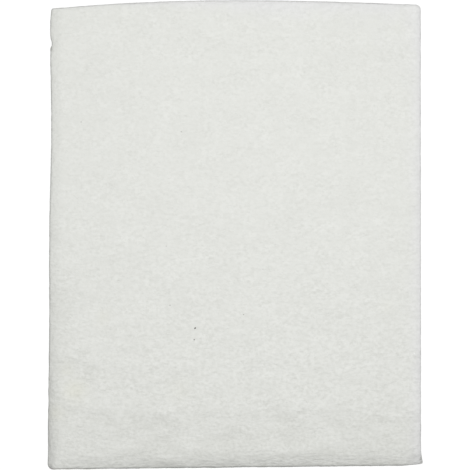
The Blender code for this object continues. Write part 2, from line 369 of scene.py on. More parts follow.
def crease_depth(points, creases):
    """Depth of the soft creases: a bell across each line, by the distance to its nearest place."""
    depth = np.zeros(len(points))
    for x0, y0, x1, y1, width, deep in np.array(creases) * MM:
        start, run = np.array([x0, y0]), np.array([x1 - x0, y1 - y0])
        share = np.clip(((points[:, :2] - start) @ run) / (run @ run), 0, 1)
        gap = np.linalg.norm(points[:, :2] - start - share[:, None] * run, axis=1) / width
        depth += deep * np.exp(-gap * gap)
    return depth


def needle_marks(felt, points):
    """Pits of the barbed needles, 0 to 1: one bell-shaped pit in each cell of a lattice, off its middle."""
    spacing = felt.needle_spacing
    cell = np.floor(points[:, :2] / spacing).astype(int)
    shifts = np.random.default_rng(SEED + 9).uniform(0.15, 0.85, (NOISE_CELLS, NOISE_CELLS, 2))
    pits = np.zeros(len(points))
    for step in np.ndindex(3, 3):
        near = cell + np.array(step) - 1
        shift = shifts[near[:, 0] % NOISE_CELLS, near[:, 1] % NOISE_CELLS]
        centre = (near + shift) * spacing
        gap = np.linalg.norm(points[:, :2] - centre, axis=1) / felt.needle_width
        pits = np.maximum(pits, np.exp(-2 * gap * gap))
    return pits


def layer_grooves(felt, points):
    """How deep the line between two laid-down layers is, 0 to 1: the square of 1 - |sin|, once in the
    thickness of each layer. The layers rise and fall along the edge, and their lines fade in and out."""
    wander = felt.layer_wander * lattice_noise(points, LAYER_WANDER_PATCH, SEED + 3)
    bulge = np.abs(np.sin(math.pi * (points[:, 2] + wander) / felt.layer_pitch))
    patch = 0.6 + 0.8 * lattice_noise(points, LAYER_PATCH, SEED + 4)
    return (1 - bulge) ** 2 * np.clip(patch, 0, 1)


def relief(felt, points, normals):
    """How far each point of the bare surface moves out: lumps, clumps and matted grain everywhere, needle
    pits on both faces, creases and pinches on the top one, and a ragged cut with layers on the edge."""
    low, high = points.min(axis=0), points.max(axis=0)
    nearness = 1 - (points[:, 1] - low[1]) / (high[1] - low[1])
    leftness = 1 - (points[:, 0] - low[0]) / (high[0] - low[0])
    facing = smooth_step((np.abs(normals[:, 2]) - 0.35) / 0.5)
    strength = FAR_RELIEF + (1 - FAR_RELIEF) * nearness * nearness
    stretch = np.array([felt.cross_stretch, 1, 1])
    lumps = felt.lump_height * lattice_noise(points, felt.lump_width * stretch, SEED)
    clumps = felt.clump_height * lattice_noise(points, felt.clump_width * stretch, SEED + 1)
    grain = felt.grain_height * lattice_noise(points, felt.grain_width * stretch, SEED + 2)
    moved = (lumps + clumps + grain) * strength * (UPRIGHT_RELIEF + (1 - UPRIGHT_RELIEF) * facing)
    folds = crease_depth(points, CREASES + PINCHES) * (normals[:, 2] > 0)
    moved = moved - (felt.needle_depth * needle_marks(felt, points) + folds) * facing

    ragged = felt.ragged_depth * (lattice_noise(points, felt.ragged_width, SEED + 5) - 0.5)
    ragged = ragged * (0.45 + 0.75 * np.maximum(leftness, nearness) ** 4)
    return moved + (ragged - felt.layer_depth * layer_grooves(felt, points)) * (1 - facing)


def felt_tints(felt, points, normals):
    """Shares for the colour of each point: how clean and grey the far and right rims are, how much painted
    shade darkens the near end, the left side and the creases, how yellow the few stains are, how close the near
    end is, and how much painted shade darkens the lines between layers, the cut edge and the pinches."""
    low, high = points.min(axis=0), points.max(axis=0)
    from_left, from_near = points[:, 0] - low[0], points[:, 1] - low[1]
    from_right, from_far = high[0] - points[:, 0], high[1] - points[:, 1]
    uneven = 1 + 0.5 * lattice_noise(points, RIM_PATCH, SEED + 6)
    clots = lattice_noise(points, CLOT_PATCH, SEED + 7)
    rightness = smooth_step(from_left / (high[0] - low[0]) * 2 - 0.4)
    far_rim = FAR_RIM_LEFT + (FAR_RIM_RIGHT - FAR_RIM_LEFT) * rightness
    corner = np.hypot(from_far, from_right)
    rims = ((from_right, RIGHT_RIM, 1.0), (from_far, far_rim, 1.0), (corner, CLEAN_CORNER, 0.9))
    clean = [level * np.exp(-((gap / (reach * uneven)) ** 2)) for gap, reach, level in rims]
    off_left = 1 - fade(from_left, 10, 50)
    off_near = 1 - fade(from_near, 0, 100)
    # Painted shade: darker towards the near end, along the left side near it, and in the creases
    shaded = fade(from_near, 24, 40) * (0.45 + 0.55 * clots) * off_left
    shaded = shaded + fade(from_near, 39, 130) * 0.35 * clots * np.maximum(off_left, off_near)
    shaded = shaded + fade(from_near, 38, 190) * 0.35 * fade(from_left, 0, 26) * off_near
    shaded = shaded + crease_depth(points, CREASES) / CREASE_SHADE
    yellow = np.zeros(len(points))
    for x, y, width, strength in STAINS:
        gap = np.linalg.norm(points[:, :2] - np.array([x, y]) * MM, axis=1) / (width * MM)
        yellow = np.maximum(yellow, strength * np.exp(-gap * gap) * uneven)
    # Painted shade in the lines between layers, faintly over the whole cut edge, and along the pinches
    upright = 1 - smooth_step((np.abs(normals[:, 2]) - 0.2) / 0.5)
    pinched = crease_depth(points, PINCHES) / MM
    return {
        "clean_rim": np.max(clean, axis=0),
        "painted_felt_shade": shaded,
        "yellow_stain": yellow,
        "nearness": fade(from_near, 25, 250),
        "painted_seam_shade": upright * (0.3 + 0.7 * layer_grooves(felt, points)) + felt.pinch_shade * pinched,
    }


def felt_surface(cut, felt):
    """The finished felt surface, set on the middle of the solid's box: points, normals, faces and shapes."""
    points, faces, shape = bare_surface(cut)
    normals = point_normals(points, faces)
    points = points + normals * relief(felt, points, normals)[:, None]
    middle = (NODE_LOW + NODE_HIGH) / 2
    for axis in range(2):
        centre = (points[:, axis].min() + points[:, axis].max()) / 2
        points[:, axis] += middle[axis] - centre
    floor_side = np.arange(len(points)) >= shape["under"]
    points[floor_side, 2] = np.abs(points[floor_side, 2]) * 0.5
    points[:, 2] = np.maximum(points[:, 2], 0)
    return points, point_normals(points, faces), faces, shape


def pick(surface, u, v, around=False):
    """Values of a grid of vectors at fractional rows v and columns u, blended between the four round each."""
    rows, columns = surface.shape[:2]
    u0 = np.floor(u).astype(int)
    v0 = np.clip(np.floor(v).astype(int), 0, rows - 2)
    if around:
        u1 = (u0 + 1) % columns
        fu = (u - u0)[..., None]
        u0 = u0 % columns
    else:
        u0 = np.clip(u0, 0, columns - 2)
        u1 = u0 + 1
        fu = np.clip(u - u0, 0, 1)[..., None]
    fv = np.clip(v - v0, 0, 1)[..., None]
    lower = surface[v0, u0] * (1 - fu) + surface[v0, u1] * fu
    upper = surface[v0 + 1, u0] * (1 - fu) + surface[v0 + 1, u1] * fu
    return lower * (1 - fv) + upper * fv


def fiber_tubes(paths, radius):
    """Closed three-sided tubes along paths, an array of (fibre, point, 3), thick in the middle and thin at
    both ends: radius times the square root of sin of the share of the length."""
    count, steps = paths.shape[:2]
    forward = np.gradient(paths, axis=1)
    forward /= np.maximum(np.linalg.norm(forward, axis=2, keepdims=True), 1e-9)
    side = np.cross(forward, np.array([0.31, 0.17, 0.94]))
    side /= np.maximum(np.linalg.norm(side, axis=2, keepdims=True), 1e-9)
    up = np.cross(side, forward)
    share = np.linspace(0, 1, steps)
    taper = np.sqrt(np.maximum(np.sin(math.pi * share), 0.04))
    width = (radius[:, None] * taper)[..., None]
    turns = np.arange(3) * 2 * math.pi / 3
    rings = [paths + width * (math.cos(turn) * side + math.sin(turn) * up) for turn in turns]
    points = np.stack(rings, axis=2).reshape(-1, 3)
    base = (np.arange(count)[:, None] * steps + np.arange(steps - 1)).ravel()[:, None] * 3
    corner = np.arange(3)
    next_corner = (corner + 1) % 3
    quads = np.stack([base + corner, base + 3 + corner, base + 3 + next_corner, base + next_corner], axis=-1)
    first = np.arange(count)[:, None] * steps * 3
    start_caps = first + np.array([0, 1, 2])
    end_caps = first + (steps - 1) * 3 + np.array([0, 2, 1])
    return points, [quads.reshape(-1, 4), np.concatenate([start_caps, end_caps])]


def wandering(rng, count, steps, length, heading, curl):
    """Flat curved paths with `steps` points each: the heading turns steadily, with a little wander. Gives
    the offsets of the points from the middle of their path."""
    turn = rng.normal(0, curl, (count, 1)) + rng.normal(0, curl * 0.6, (count, steps - 1))
    angles = heading[:, None] + np.cumsum(turn, axis=1)
    pace = (length / (steps - 1))[:, None]
    moves = np.stack([np.cos(angles) * pace, np.sin(angles) * pace], axis=-1)
    offsets = np.concatenate([np.zeros((count, 1, 2)), np.cumsum(moves, axis=1)], axis=1)
    return offsets - offsets.mean(axis=1, keepdims=True)


def face_fibers(cut, felt, loose):
    """Paths of the loose fibres on the top face: flat curls that follow the felt and lift a little."""
    points, normals, _, shape = felt_surface(cut, felt)
    grid = (shape["rows"], shape["columns"])
    size = grid[0] * grid[1]
    top = points[:size].reshape(*grid, 3)
    normal = normals[:size].reshape(*grid, 3)
    rng = np.random.default_rng(SEED + 20)
    count, steps = loose.face_count, FACE_FIBER_STEPS
    length = rng.gamma(4.0, loose.fiber_length / 4, count)
    heading = rng.uniform(0, 2 * math.pi, count)
    offsets = wandering(rng, count, steps, length, heading, 0.35) / FACE_STEP
    u = rng.uniform(0, grid[1] - 1, (count, 1)) + offsets[..., 0]
    v = rng.uniform(0, grid[0] - 1, (count, 1)) + offsets[..., 1]
    inside = ((u > 1) & (u < grid[1] - 2) & (v > 1) & (v < grid[0] - 2)).all(axis=1)
    share = np.linspace(0, 1, steps)
    arch = np.sin(math.pi * share) * rng.uniform(0.2, 1.0, (count, 1)) * loose.fiber_lift
    height = (arch - loose.fiber_radius * 0.3)[..., None]
    paths = pick(top, u, v) + pick(normal, u, v) * height
    radius = loose.fiber_radius * rng.uniform(0.5, 1.2, count)
    return paths[inside], radius[inside]


def edge_fibers(cut, felt, loose):
    """Paths of the fibres that the cut left hanging out of the edge: along it for the most part, with ends
    and loops that stand proud."""
    points, normals, _, shape = felt_surface(cut, felt)
    start = shape["rows"] * shape["columns"]
    grid = (shape["levels"], shape["around"])
    wall = points[start : shape["under"]].reshape(*grid, 3)
    normal = normals[start : shape["under"]].reshape(*grid, 3)
    rng = np.random.default_rng(SEED + 21)
    count, steps = loose.edge_count, EDGE_FIBER_STEPS
    length = rng.gamma(3.0, loose.edge_length / 3, count)
    heading = rng.normal(0, 0.35, count) + math.pi * rng.integers(0, 2, count)
    offsets = wandering(rng, count, steps, length, heading, 0.3)
    level_step = cut.thickness / WALL_STEPS
    u = rng.uniform(0, grid[1], (count, 1)) + offsets[..., 0] / FACE_STEP
    v = rng.uniform(1, grid[0] - 2, (count, 1)) + offsets[..., 1] / level_step
    v = np.clip(v, 0.5, grid[0] - 2.5)
    share = np.linspace(0, 1, steps)
    free_end = smooth_step((share - 0.45) / 0.55) * (rng.random((count, 1)) < 0.5)
    arch = np.sin(math.pi * share) * rng.uniform(0.1, 0.8, (count, 1))
    height = (arch + free_end * rng.uniform(0.3, 1.4, (count, 1))) * loose.edge_lift
    paths = pick(wall, u, v, around=True) + pick(normal, u, v, around=True) * height[..., None]
    paths[..., 2] = np.maximum(paths[..., 2], loose.fiber_radius)
    return paths, loose.fiber_radius * rng.uniform(0.5, 1.2, count)


def bead_mesh(centres, sizes, angles):
    """Closed beads of twelve by eight faces: ellipsoids by longitude and latitude, turned about Z."""
    turns, levels = 12, 8
    around = np.arange(turns) * 2 * math.pi / turns
    polar = np.linspace(0, math.pi, levels + 1)[1:-1]
    ring = np.stack(
        [
            np.sin(polar)[:, None] * np.cos(around),
            np.sin(polar)[:, None] * np.sin(around),
            np.repeat(np.cos(polar)[:, None], turns, axis=1),
        ],
        axis=-1,
    ).reshape(-1, 3)
    unit = np.concatenate([ring, [[0, 0, 1], [0, 0, -1]]])
    shaped = unit[None] * sizes[:, None, :]
    cos, sin = np.cos(angles)[:, None], np.sin(angles)[:, None]
    across = shaped[..., 0] * cos - shaped[..., 1] * sin
    along = shaped[..., 0] * sin + shaped[..., 1] * cos
    turned = np.stack([across, along, shaped[..., 2]], axis=-1)
    points = turned + centres[:, None, :]
    lines = np.arange((levels - 2) * turns).reshape(-1, turns)
    onward = np.roll(lines, -1, axis=1)
    quads = np.stack([lines, lines + turns, onward + turns, onward], axis=-1).reshape(-1, 4)
    last = (levels - 2) * turns + np.arange(turns)
    top_fan = np.stack([np.full(turns, len(ring)), np.arange(turns), np.roll(np.arange(turns), -1)], axis=1)
    low_fan = np.stack([np.full(turns, len(ring) + 1), np.roll(last, -1), last], axis=1)
    shift = (np.arange(len(centres)) * len(unit))[:, None, None]
    fans = np.concatenate([top_fan, low_fan])
    return points.reshape(-1, 3), [(quads[None] + shift).reshape(-1, 4), (fans[None] + shift).reshape(-1, 3)]


def new_material(name, roughness, specular):
    """A plain material to build on: itself, its node tree and its shader."""
    material = bpy.data.materials.new(name)
    material.use_nodes = True
    tree = material.node_tree
    shader = tree.nodes["Principled BSDF"]
    shader.inputs["Roughness"].default_value = roughness
    shader.inputs["Specular IOR Level"].default_value = specular
    return material, tree, shader


def speckled(tree, shader, width, dark, pale):
    """Colour a shader by patches about `width` wide that go from one hex colour to another."""
    place = add_node(tree, "ShaderNodeTexCoord").outputs["Object"]
    spots = add_node(tree, "ShaderNodeTexNoise", {"Vector": place, "Scale": 1 / width, "Detail": 2.0})
    ramp = add_node(tree, "ShaderNodeValToRGB", {"Fac": spots.outputs["Fac"]})
    ramp.color_ramp.elements[0].color = srgb(dark)
    ramp.color_ramp.elements[1].color = srgb(pale)
    tree.links.new(ramp.outputs["Color"], shader.inputs["Base Color"])


def felt_material(felt):
    """Needled alumina-silica felt: matted white fibre, laid at random and pressed, so it has no gloss, a soft
    bloom at grazing angles, a mottle a few millimetres wide and fine threads in every direction."""
    material, tree, shader = new_material("needled_alumina_silica_felt", 0.96, 0.2)
    shader.inputs["Sheen Weight"].default_value = 0.12
    shader.inputs["Sheen Roughness"].default_value = 0.6
    place = add_node(tree, "ShaderNodeTexCoord").outputs["Object"]
    tints = {}
    for name in ("clean_rim", "painted_felt_shade", "yellow_stain", "nearness", "painted_seam_shade"):
        tints[name] = add_node(tree, "ShaderNodeAttribute", attribute_name=name).outputs["Fac"]

    def pattern(width, detail, scale, levels=(0, 1), values=(0, 1), roughness=0.55, turn=0, distort=0.0):
        """Noise `width` wide, stretched by `scale` after a turn about Z, its levels spread to values."""
        inputs = {"Vector": place, "Rotation": (0, 0, math.radians(turn))}
        inputs["Scale"] = [1 / (width * stretch) for stretch in scale]
        moved = add_node(tree, "ShaderNodeMapping", inputs).outputs["Vector"]
        inputs = {"Vector": moved, "Scale": 1.0, "Detail": detail}
        inputs.update({"Roughness": roughness, "Distortion": distort})
        noise = add_node(tree, "ShaderNodeTexNoise", inputs).outputs["Fac"]
        inputs = {"Value": noise, "From Min": levels[0], "From Max": levels[1]}
        inputs.update({"To Min": values[0], "To Max": values[1]})
        return add_node(tree, "ShaderNodeMapRange", inputs).outputs["Result"]

    stretched = (felt.cross_stretch, 1, 1)
    grain = pattern(felt.mottle_width, 2.5, (1.25, 1, 1), (0.2, 0.62), (-0.67, 0.33))
    clots = pattern(felt.patch_width * 0.6, 2.0, (1.5, 1, 1), (0.3, 0.7), (0.19, 0.89))
    patches = pattern(felt.patch_width, 2.0, stretched, (0.3, 0.7), (0.39, 0.55))
    matted = pattern(felt.matting_width, 3.0, stretched)
    fine = pattern(felt.mottle_width * 0.4, 3.0, (1, 1, 1))
    layers = pattern(felt.layer_pitch, 3.0, (9, 9, 0.5), roughness=0.6)

    inputs = {0: tints["nearness"], 1: 0.38, 2: clots}
    contrast = add_node(tree, "ShaderNodeMath", inputs, operation="MULTIPLY_ADD").outputs[0]
    inputs = {0: grain, 1: contrast, 2: patches}
    mottle = add_node(tree, "ShaderNodeMath", inputs, operation="MULTIPLY_ADD").outputs[0]
    inputs = {0: mottle, 6: (*felt.shade_colour, 1.0), 7: (*felt.colour, 1.0)}
    colour = add_node(tree, "ShaderNodeMix", inputs, data_type="RGBA").outputs[2]
    # Multiply in the painted shade of the near end, left side and creases, then the real yellow stains
    for name, other in (("painted_felt_shade", felt.painted_shade_colour), ("yellow_stain", felt.stain_colour)):
        inputs = {0: tints[name], 6: colour, 7: (*other, 1.0)}
        colour = add_node(tree, "ShaderNodeMix", inputs, data_type="RGBA", blend_type="MULTIPLY").outputs[2]
    grey = add_node(tree, "ShaderNodeHueSaturation", {"Saturation": 0.15, "Color": colour}).outputs["Color"]
    inputs = {0: tints["clean_rim"], 6: colour, 7: grey}
    colour = add_node(tree, "ShaderNodeMix", inputs, data_type="RGBA").outputs[2]
    # Painted shade in the lines between layers of the cut edge and along the pinches
    inputs = {"Value": layers, "From Min": 0.62, "From Max": 0.3}
    gaps = add_node(tree, "ShaderNodeMapRange", inputs).outputs["Result"]
    inputs = {0: gaps, 1: tints["painted_seam_shade"]}
    shaded_seams = add_node(tree, "ShaderNodeMath", inputs, operation="MULTIPLY").outputs[0]
    inputs = {0: shaded_seams, 6: colour, 7: (*felt.seam_shade_colour, 1.0)}
    colour = add_node(tree, "ShaderNodeMix", inputs, data_type="RGBA", blend_type="MULTIPLY").outputs[2]
    tree.links.new(colour, shader.inputs["Base Color"])

    threads = 0.0
    for turn in (8, 52, 97, 144):
        thread = pattern(felt.thread_width, 1.0, (16, 1, 1), (0.5, 0.72), turn=turn, distort=0.4)
        threads = add_node(tree, "ShaderNodeMath", {0: threads, 1: thread}, operation="MAXIMUM").outputs[0]
    bumps = (
        (matted, felt.matting_bump),
        (fine, felt.matting_bump * 0.15),
        (threads, felt.thread_bump),
        (layers, felt.layer_bump),
    )
    bump = {"Strength": 1.0}
    for height, distance in bumps:
        bump.update({"Height": height, "Distance": distance})
        bump["Normal"] = add_node(tree, "ShaderNodeBump", bump).outputs["Normal"]
    tree.links.new(bump["Normal"], shader.inputs["Normal"])
    return material


def fiber_material():
    """Loose alumina-silica fibres: clean white threads of spun glass-like melt, faintly satin. Light passes
    through them, so the side away from the light is nearly as pale."""
    material, tree, shader = new_material("loose_alumina_silica_fibers", 0.8, 0.3)
    speckled(tree, shader, 4 * MM, "D2D3CE", "E3E4E0")
    shader.inputs["Subsurface Weight"].default_value = 0.8
    shader.inputs["Subsurface Radius"].default_value = (1, 1, 1)
    shader.inputs["Subsurface Scale"].default_value = 0.2 * MM
    return material


def bead_material():
    """Shot: beads of melt that never spun into fibre, dark grey-brown glass with a dull skin."""
    material, tree, shader = new_material("unspun_melt_shot", 0.45, 0.5)
    speckled(tree, shader, 0.4 * MM, "3E3D38", "6A6962")
    return material


def floor_material(colour):
    """Studio board: one even coat of matt white paint, lit until it is pure white."""
    material, _, shader = new_material("matt_white_studio_board", 0.9, 0.0)
    shader.inputs["Base Color"].default_value = (*colour, 1.0)
    return material


def size(name, default, description, least=0.0):
    """A property that holds a length in metres."""
    return FloatProperty(
        name=name, description=description, default=default, min=least, precision=5, unit="LENGTH"
    )


def share(name, default, description):
    """A property that holds a plain number."""
    return FloatProperty(name=name, description=description, default=default)


def count(name, default, description):
    """A property that holds a number of pieces."""
    return IntProperty(name=name, description=description, default=default, min=0)


def tone(name, default, description):
    """A property that holds a linear colour."""
    return FloatVectorProperty(
        name=name, description=description, default=default, subtype="COLOR", min=0.0, max=1.0
    )


class FIBERSHEET_PG_cut(bpy.types.PropertyGroup):
    """The piece of blanket and its hand-cut outline, as in the solid."""

    width: size("Width", 304.8 * MM, "Width of the cut, 12 in")
    length: size("Length", 382 * MM, "Mean length between the two ends, 15 in and the bow")
    thickness: size("Thickness", 12.7 * MM, "Thickness of the blanket, half an inch")
    end_skew: size("End skew", 3.3 * MM, "How far both ends are out of square")
    far_bow: size("Far bow", 5.6 * MM, "Height of the arc of the far end")
    far_lean: share("Far lean", 0.12, "Share of half the width by which the arc's top lies to the left")
    left_sway: size("Left sway", 0.8 * MM, "How far the left side wanders in the far half")
    sway_wave: share("Sway wave", 0.45, "Share of the length that one wander takes")
    sway_crest: share("Sway crest", 0.72, "Share of the length at which the side is furthest in")
    left_flare: size("Left flare", 2.1 * MM, "How far the left side runs out towards the near end")
    right_taper: size("Right taper", 0.7 * MM, "How far the right side runs in towards the near end")
    flare_power: share("Flare power", 1.6, "Above 1, the flare gathers towards the near end")
    notch_depth: size("Tear depth", 1.4 * MM, "Depth of the tear in the left side")
    notch_length: size("Tear length", 12 * MM, "Length of the tear")
    notch_from_far: size("Tear place", 29.6 * MM, "From the far end to the deepest place of the tear")
    notch_far_share: share("Tear lean", 0.62, "Share of the tear on the far side of its deepest place")
    tip_reach: size("Tip reach", 1.8 * MM, "How far the near right corner is drawn out sideways")
    tip_lift: size("Tip lift", 1.4 * MM, "How far that corner is drawn towards the far end")
    tip_length: size("Tip length", 20 * MM, "How much of the two sides the tip bends")
    peak_reach: size("Peak reach", 0.9 * MM, "How far the far left corner is drawn in from the side")
    peak_lift: size("Peak lift", 0.8 * MM, "How far that corner is drawn towards the far end")
    peak_length: size("Peak length", 12 * MM, "How much of the two sides the peak bends")
    near_left_corner: size("Near left corner", 4.5 * MM, "Corner radius seen from above")
    near_right_corner: size("Near right corner", 1.2 * MM, "Corner radius seen from above")
    far_right_corner: size("Far right corner", 3.6 * MM, "Corner radius seen from above")
    far_left_corner: size("Far left corner", 1.4 * MM, "Corner radius seen from above")
    near_roll: size("Near roll", 14.5 * MM, "Width over which the top face eases down to the near end")
    near_drop: size("Near drop", 4.5 * MM, "How far it eases down there")
    sag_width: size("Sag width", 48 * MM, "Width over which the near end sags gently")
    sag_drop: size("Sag drop", 1.8 * MM, "How far the near end sags")
    sag_power: share("Sag power", 1.2, "Above 1, the sag gathers towards the near end")
    left_ease: share("Left ease", 0.55, "Share by which the near end eases down less at its left corner")
    right_ease: share("Right ease", 0.3, "Share by which it does so at its right corner")
    ease_width: size("Ease width", 80 * MM, "How far in from its corner the near end eases down in full")
    left_roll_far: size("Left roll, far", 10 * MM, "Width of the roll at the far end of the left side")
    left_drop_far: size("Left drop, far", 2.2 * MM, "Drop at the far end of the left side")
    left_roll_near: size("Left roll, near", 20 * MM, "Width of the roll at the near end of the left side")
    left_drop_near: size("Left drop, near", 6.3 * MM, "Drop at the near end of the left side")
    left_curl: share("Left curl", 4.0, "Power of the left roll's curve at the near end, and 2 is a parabola")
    left_power: share("Left power", 6.0, "Above 1, the left side's drop gathers towards the near end")
    right_roll: size("Right roll", 3.5 * MM, "Width of the roll at the right side")
    right_drop: size("Right drop", 0.55 * MM, "Drop at the right side")
    far_roll: size("Far roll", 2.5 * MM, "Width of the roll at the far end")
    far_drop: size("Far drop", 0.5 * MM, "Drop at the far end")
    shoulder_radius: size("Shoulder", 1.6 * MM, "Radius of the turn from the top face into the cut edge")
    right_shoulder: size("Right shoulder", 0.9 * MM, "The same at the right side, where the cut is crisper")
    right_crisp_reach: size("Crisp reach", 20 * MM, "How far in from the right the crisper cut fades out")
    steepest_slope: share("Steepest slope", 1.5, "Steepest slope that a shoulder carries on from")
    foot_radius: size("Foot", 1.0 * MM, "Radius of the turn into the underside")
    wave_height: size("Wave height", 0.6 * MM, "Trough to crest of the cross-wise waves")
    wave_pitch: size("Wave pitch", 41.5 * MM, "From crest to crest")
    wave_count: share("Waves", 2.5, "How many waves there are, from the near end")
    wave_drift: size("Wave drift", 4 * MM, "How far a crest wanders along the sheet")


class FIBERSHEET_PG_felt(bpy.types.PropertyGroup):
    """Relief and colour of the felt."""

    cross_stretch: share("Cross stretch", 2.0, "How much longer the grain is across the sheet than along it")
    lump_width: size("Lump width", 30 * MM, "Width of the broad lumps of the blanket")
    lump_height: size("Lump height", 0.25 * MM, "Height of the broad lumps")
    clump_width: size("Clump width", 9 * MM, "Width of the clumps of fibre")
    clump_height: size("Clump height", 0.36 * MM, "Height of the clumps")
    grain_width: size("Grain width", 3.6 * MM, "Width of the matted grain in the mesh")
    grain_height: size("Grain height", 0.16 * MM, "Height of that grain")
    needle_spacing: size("Needle spacing", 7 * MM, "From one needle pit to the next")
    needle_width: size("Needle pit width", 1.6 * MM, "Width of a needle pit")
    needle_depth: size("Needle pit depth", 0.05 * MM, "Depth of a needle pit")
    layer_pitch: size("Layer pitch", 2.1 * MM, "Thickness of one laid layer of fibre in the cut edge")
    layer_depth: size("Layer depth", 0.4 * MM, "How deep the lines between layers are")
    layer_wander: size("Layer wander", 0.9 * MM, "How far a layer rises and falls along the edge")
    # Strength of the painted shade along a pinch, by its depth in mm
    pinch_shade: share("Pinch shade", 6.0, "How much a pinch shows the layers' lines, by its depth in mm")
    ragged_width: size("Ragged width", 5 * MM, "Width of the ragged bites of the blade")
    ragged_depth: size("Ragged depth", 0.16 * MM, "Depth of those bites")
    mottle_width: size("Mottle width", 2.3 * MM, "Width of the felt's mottle")
    matting_width: size("Matting width", 3.0 * MM, "Width of the matted clots of fibre")
    patch_width: size("Patch width", 17 * MM, "Width of the wider patches of tone")
    matting_bump: size("Matting bump", 0.9 * MM, "Height of the matted clots' bump")
    thread_width: size("Thread width", 0.5 * MM, "Width of the matted threads, coarser than the real ones")
    thread_bump: size("Thread bump", 0.03 * MM, "Height of the matted threads")
    layer_bump: size("Layer bump", 0.3 * MM, "Height of the fine lines in the cut edge")
    colour: tone("Felt", srgb("DEDFDB")[:3], "Clean felt")
    shade_colour: tone("Felt shade", srgb("CFD0CB")[:3], "Felt between the clumps")
    # Painted shade of the near end, the left side and the creases
    painted_shade_colour: tone("Worn felt", (0.945, 0.945, 0.94), "What the worn near end is multiplied by")
    stain_colour: tone("Stain", (1.0, 0.995, 0.955), "What the stains are multiplied by")
    # Painted shade in the lines between layers and along the pinches
    seam_shade_colour: tone("Layer seam", (0.62, 0.62, 0.6), "What the lines between layers are multiplied by")


class FIBERSHEET_PG_loose(bpy.types.PropertyGroup):
    """Loose fibres and beads of unspun melt."""

    face_count: count("Fibres on the face", 3600, "How many lie loose on the top")
    edge_count: count("Fibres at the edge", 1600, "How many hang out of the cut")
    fiber_radius: size("Fibre radius", 0.03 * MM, "Radius of a bundle of fibres, thick enough to show")
    fiber_length: size("Fibre length", 9 * MM, "Mean length on the face")
    fiber_lift: size("Fibre lift", 0.12 * MM, "How high a fibre arches over the face")
    edge_length: size("Edge fibre length", 7 * MM, "Mean length at the edge")
    edge_lift: size("Edge fibre lift", 0.3 * MM, "How far edge fibres stand proud")
    bead_depth: share("Bead depth", 0.35, "Share of a bead's height that is sunk in the felt")


class FIBERSHEET_PG_stage(bpy.types.PropertyGroup):
    """Floor, lights and camera."""

    floor_size: size("Floor size", 40.0, "Side of the square floor")
    floor_colour: tone("Floor", srgb("FAFAFA")[:3], "Matt white board")
    world_strength: share("Room light", 0.35, "Strength of the even light of the room")
    wash_strength: share("Floor wash", 2.45, "Strength of the light that whitens the floor alone")
    key_power: FloatProperty(name="Softbox", description="Power of the softbox", default=12.8, unit="POWER")
    key_size: size("Softbox size", 0.6, "Side of the softbox")
    key_place: FloatVectorProperty(
        name="Softbox place",
        description="It hangs over the far end",
        default=(0.05, 0.145, 1.22),
        unit="LENGTH",
    )
    camera_distance: size("Camera distance", 3.0, "From the sheet to the camera")
    camera_height: FloatProperty(
        name="Camera height",
        description="Angle of the camera above the floor",
        default=math.radians(87),
        subtype="ANGLE",
    )
    frame_width: size("Frame width", 385.9 * MM, "How much of the sheet's plane the picture is wide")
    frame_right: size("Frame right", -0.08 * MM, "Picture's middle, to the right of the sheet's", least=-1.0)
    frame_up: size("Frame up", -0.55 * MM, "Picture's middle, up from the sheet's", least=-1.0)


# Soft creases of the near half, each with painted shade along it by its depth, in millimetres from the middle
# of the sheet: two ends, half width and depth
CREASES = (
    (-146, -143, -104, -152, 5, 0.65),
    (-87, -150, -71, -157, 5, 0.65),
    (-65, -153, -56, -155, 4, 0.35),
    (-62, -170, -46, -164, 5, 0.6),
    (-70, -175, -49, -173, 4.5, 0.6),
    (-96, -180, -29, -180, 3, 0.3),
    (-29, -169, 8, -165, 4, 0.35),
    (33, -151, 53, -157, 5.5, 0.75),
    (43, -169, 70, -164, 6, 0.7),
    (78, -154, 94, -152, 5, 0.5),
    (74, -177, 94, -175, 4.5, 0.5),
    (109, -169, 129, -172, 5, 0.4),
    (123, -155, 145, -153, 4.5, 0.4),
    (-144, -106, -119, -113, 6, 0.4),
    (-119, -113, -96, -114, 4, 0.2),
    (-70, -113, -37, -118, 3.5, 0.3),
    (-131, -132, -124, -141, 4, 0.4),
    (12, -111, 33, -111, 4, 0.25),
    (98, -129, 126, -129, 5, 0.25),
    (-86, -90, -78, -96, 3, 0.2),
    (27, -78, 39, -80, 3, 0.2),
    (90, -100, 96, -102, 3.5, 0.25),
    (-16, -132, -11, -135, 3.5, 0.2),
    (-143, -46, -143, -84, 9, 0.5),
)
# Pinches of the drawn-out tip and of the tear, with painted shade along them as dark lines, in the same way
PINCHES = (
    (152.7, -188.5, 152.4, -181.5, 1.3, 0.5),
    (-151.5, 154.2, -151.3, 151.2, 0.9, 0.35),
)
# Faint yellow stains, in millimetres: place, half width and strength
STAINS = (
    (-131, -129, 9, 1.0),
    (-138, -111, 6, 0.5),
    (-146, -146, 7, 0.6),
    (-108, -68, 6, 0.35),
    (-46, -128, 9, 0.25),
    (124, -59, 5, 0.3),
)
# The dark beads, in millimetres from the sheet's middle: place, long and short radius, and turn in degrees
SHOT = (
    (-32.7, -77.2, 0.86, 0.54, 50),
    (-33.4, -86.6, 0.52, 0.42, 60),
    (-53.3, -58.4, 0.36, 0.32, 20),
    (7.0, -66.1, 0.30, 0.26, 80),
    (-126.4, 92.0, 0.34, 0.30, 10),
    (-44.2, 83.9, 0.28, 0.26, 0),
    (-56.4, -10.0, 0.24, 0.24, 0),
)


